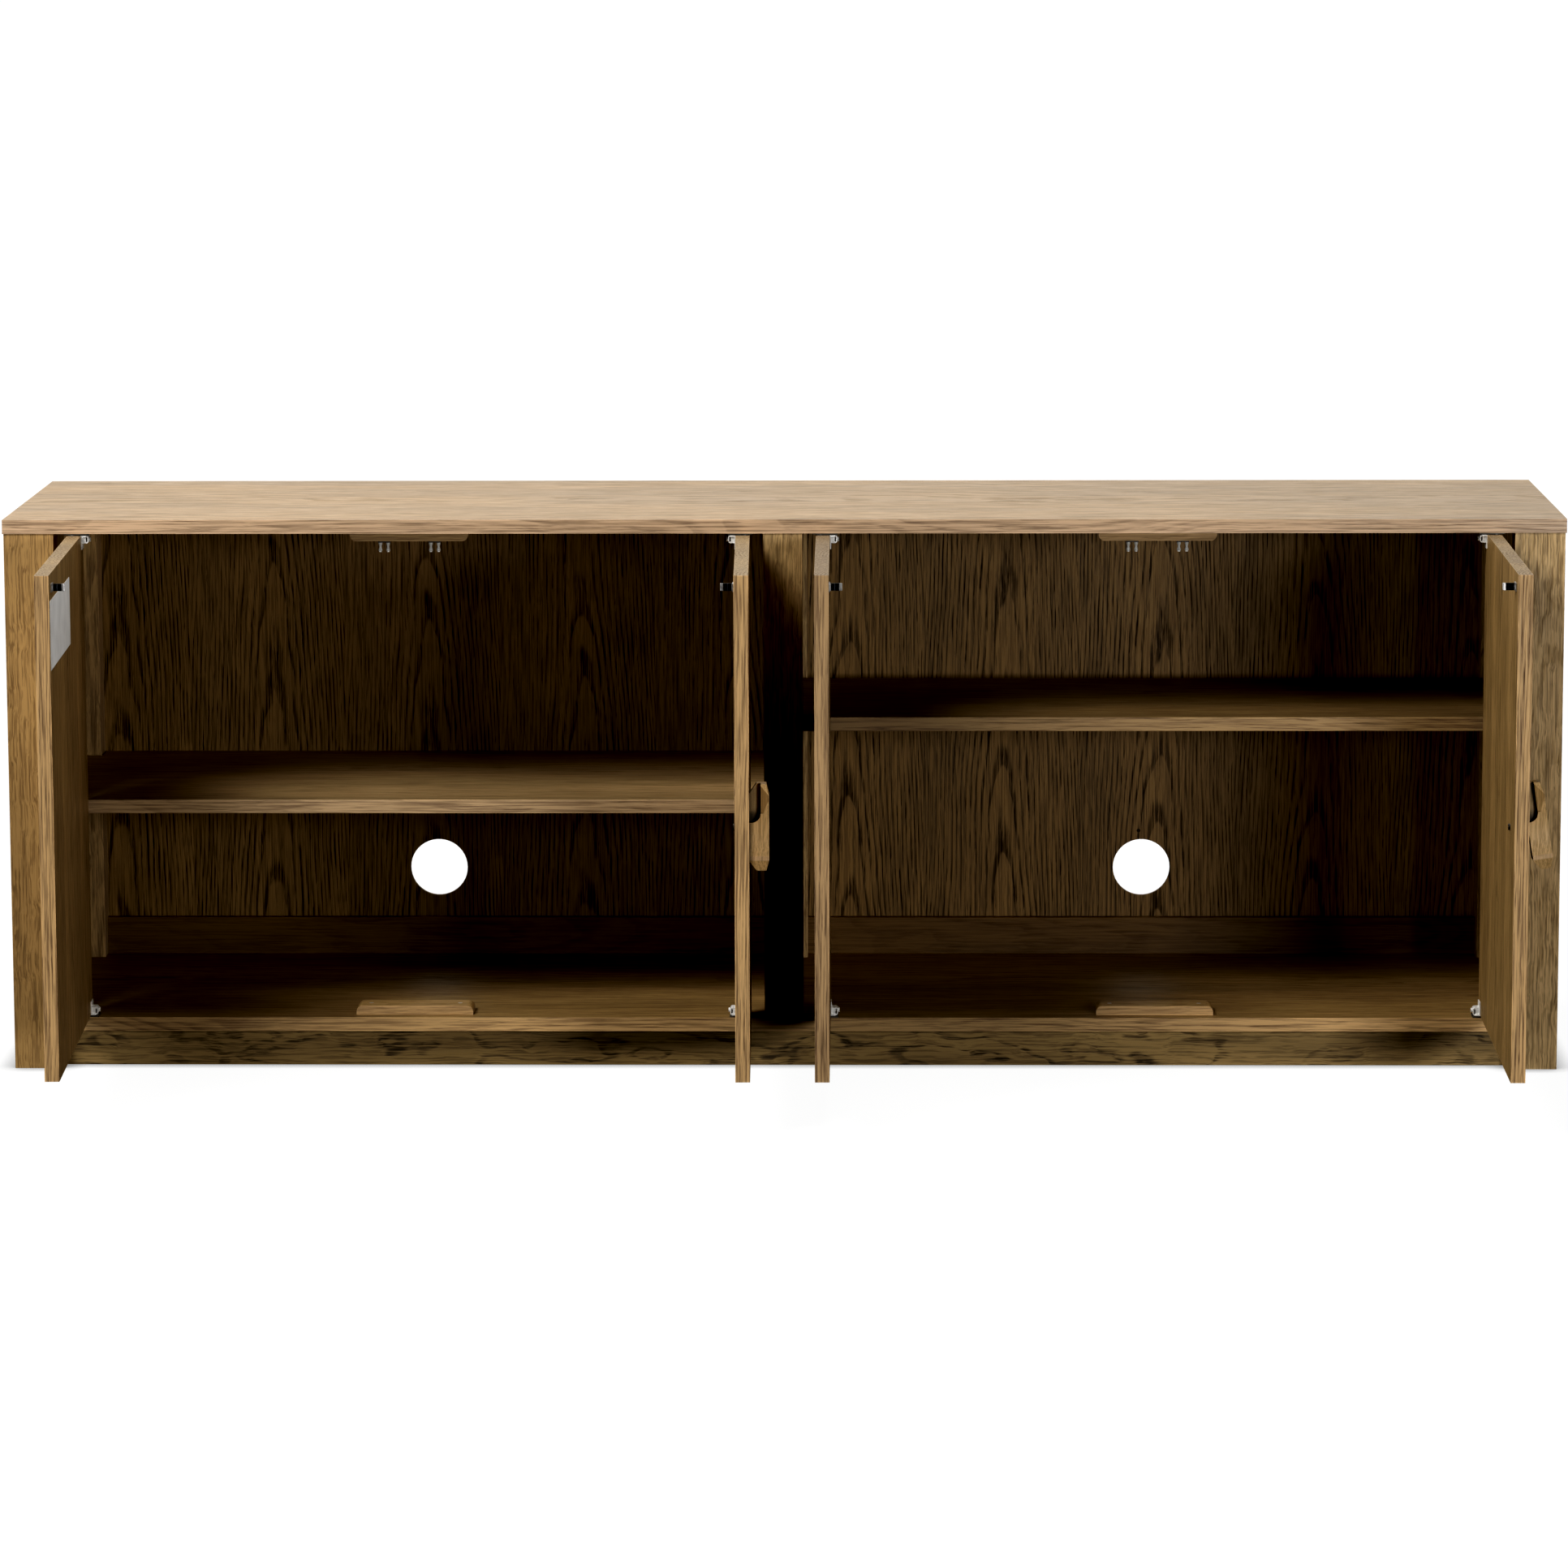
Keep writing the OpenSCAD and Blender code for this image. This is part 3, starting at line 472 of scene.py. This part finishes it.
def add_spool(node, body):
    """A catch roller with a narrower waist, in place of its plain CAD cylinder."""
    set_material(node, nylon)
    low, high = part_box(node)
    centre, outer, half = (low + high) / 2, (high.x - low.x) / 2, (high.z - low.z) / 2
    bore, chamfer, flange, waist, steps = 1.05 * MM, 0.3 * MM, 2.2 * MM, 0.9 * MM, 8
    profile = [(bore, -half), (outer - chamfer, -half), (outer, -half + chamfer),
               (outer, -half + flange)]
    for step in range(1, steps):
        along = step / steps
        profile.append((outer - waist * math.sin(math.pi * along),
                        (2 * along - 1) * (half - flange)))
    profile += [(r, -z) for r, z in reversed(profile[:4])]
    mesh = bpy.data.meshes.new(node + "_spool")
    form = bmesh.new()
    turns = 40
    loops = [[form.verts.new(centre + Vector((r * math.cos(2 * math.pi * k / turns),
                                              r * math.sin(2 * math.pi * k / turns), z)))
              for k in range(turns)] for r, z in profile]
    for a, b in zip(loops, loops[1:] + loops[:1]):
        for k in range(turns):
            form.faces.new((a[k], a[(k + 1) % turns], b[(k + 1) % turns], b[k])).smooth = True
    bmesh.ops.recalc_face_normals(form, faces=form.faces)
    form.to_mesh(mesh)
    form.free()
    spool = bpy.data.objects.new(node + "_spool", mesh)
    bpy.context.scene.collection.objects.link(spool)
    mesh.materials.append(nylon)
    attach(spool, body)
    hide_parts(node)


for joint in frame["joints"]:
    if joint["name"].startswith("catch_"):
        add_spool(joint["name"].replace("_spin", ""), joint["child"])
set_material("door_1_label", plain("label_paper", PAPER, 0.6, 900, 0.04 * MM))


# ---- studio ----------------------------------------------------------------

CAMERA_TURN = (-0.0183, 0.1554, 0.0029)  # yaw, pitch, roll in radians
CAMERA_PLACE = (0.14196, -7.95058, 1.58340)
CAMERA_LENS = 138.91
BLACK_LEVEL = 0.021
CONTRAST = 1.4
# Name, watts, size, place, target
LAMPS = (
    ("key", 290.0, 2.2, (-2.9, -2.8, 4.1), (-0.1, -0.1, 0.4)),
    ("sky", 125.0, 2.0, (0.1, 0.3, 4.6), (0.1, 0.0, 0.7)),
    ("low_right", 90.0, 0.9, (2.1, -4.5, 0.9), (0.0, 0.1, 0.35)),
    ("low_left", 35.0, 1.0, (-2.6, -4.6, 0.9), (0.0, 0.1, 0.35)),
)

def add_lamp(name, energy, size, location, target):
    data = bpy.data.lights.new(name, "AREA")
    data.energy = energy
    data.size = size
    lamp = bpy.data.objects.new(name, data)
    lamp.location = location
    direction = Vector(target) - Vector(location)
    lamp.rotation_euler = direction.to_track_quat("-Z", "Y").to_euler()
    bpy.context.scene.collection.objects.link(lamp)


def add_floor():
    """A white floor that throws almost no light on the cabinet, with a painted contact shadow
    where it touches it.
    """
    size = 250.0
    mesh = bpy.data.meshes.new("studio_floor")
    corners = [(-size, -size, 0), (size, -size, 0), (size, size, 0), (-size, size, 0)]
    mesh.from_pydata(corners, [], [(0, 1, 2, 3)])
    floor = bpy.data.objects.new("studio_floor", mesh)
    bpy.context.scene.collection.objects.link(floor)
    n = Nodes("studio_floor")
    seen = n.add("ShaderNodeLightPath").outputs["Is Camera Ray"]
    here = n.add("ShaderNodeTexCoord").outputs["Object"]
    far = n.between(n.vector("LENGTH", here), 1.2, 6.0, 0.97, 1.05, "LINEAR")
    # painted shadow: ambient occlusion darkens the floor's glow where the cabinet stands on it
    near = n.add("ShaderNodeAmbientOcclusion", {"Distance": 0.03}, samples=8).outputs["AO"]
    contact_shadow = n.between(near, 0.35, 1.0, 0.45, 1.0, "LINEAR")
    glow = n.math("MULTIPLY", seen, n.math("MULTIPLY", far, contact_shadow))
    n.plug(n.shader.inputs["Base Color"], n.between(seen, 0.0, 1.0, 0.04, 0.05, "LINEAR"))
    n.plug(n.shader.inputs["Emission Strength"], glow)
    n.plug(n.shader.inputs["Emission Color"], (1, 1, 1, 1))
    n.plug(n.shader.inputs["Roughness"], 0.9)
    n.plug(n.shader.inputs["Specular IOR Level"], 0.0)
    mesh.materials.append(n.material)


def set_world():
    """White behind the cabinet, dim in front of it."""
    world = bpy.data.worlds.new("studio")
    bpy.context.scene.world = world
    world.use_nodes = True
    nodes, links = world.node_tree.nodes, world.node_tree.links
    background = nodes["Background"]
    background.inputs["Color"].default_value = (1, 1, 1, 1)
    coordinate = nodes.new("ShaderNodeTexCoord")
    split = nodes.new("ShaderNodeSeparateXYZ")
    links.new(coordinate.outputs["Generated"], split.inputs[0])
    behind = nodes.new("ShaderNodeMapRange")
    low = nodes.new("ShaderNodeMapRange")
    for node, output, start, end in ((behind, "Y", -0.1, 0.5), (low, "Z", 0.8, 0.35)):
        node.interpolation_type = "SMOOTHSTEP"
        node.inputs["From Min"].default_value = start
        node.inputs["From Max"].default_value = end
        links.new(split.outputs[output], node.inputs["Value"])
    strength = nodes.new("ShaderNodeMath")
    strength.operation = "MULTIPLY"
    links.new(behind.outputs[0], strength.inputs[0])
    links.new(low.outputs[0], strength.inputs[1])
    links.new(strength.outputs[0], background.inputs["Strength"])


def set_camera():
    yaw, pitch, roll = CAMERA_TURN
    forward = Vector((math.sin(yaw) * math.cos(pitch), math.cos(yaw) * math.cos(pitch),
                      -math.sin(pitch)))
    level = Vector((math.cos(yaw), -math.sin(yaw), 0))
    upright = level.cross(forward)
    right = level * math.cos(roll) - upright * math.sin(roll)
    up = level * math.sin(roll) + upright * math.cos(roll)
    data = bpy.data.cameras.new("camera")
    data.sensor_width = 36.0
    data.lens = CAMERA_LENS
    data.clip_end = 1000.0
    camera = bpy.data.objects.new("camera", data)
    bpy.context.scene.collection.objects.link(camera)
    turn = Matrix((right, up, -forward)).transposed().to_4x4()
    camera.matrix_world = Matrix.Translation(CAMERA_PLACE) @ turn
    bpy.context.scene.camera = camera


def set_view():
    """Plain colour with firmer contrast and deep blacks."""
    view = bpy.context.scene.view_settings
    view.view_transform = "Standard"
    view.use_curve_mapping = True
    view.curve_mapping.black_level = (BLACK_LEVEL, BLACK_LEVEL, BLACK_LEVEL)
    curve = view.curve_mapping.curves[3]
    for level in (0.05, 0.12, 0.25, 0.50, 0.75):
        curve.points.new(level, level ** CONTRAST)
    view.curve_mapping.update()


set_camera()
add_floor()
set_world()
set_view()
for lamp in LAMPS:
    add_lamp(*lamp)
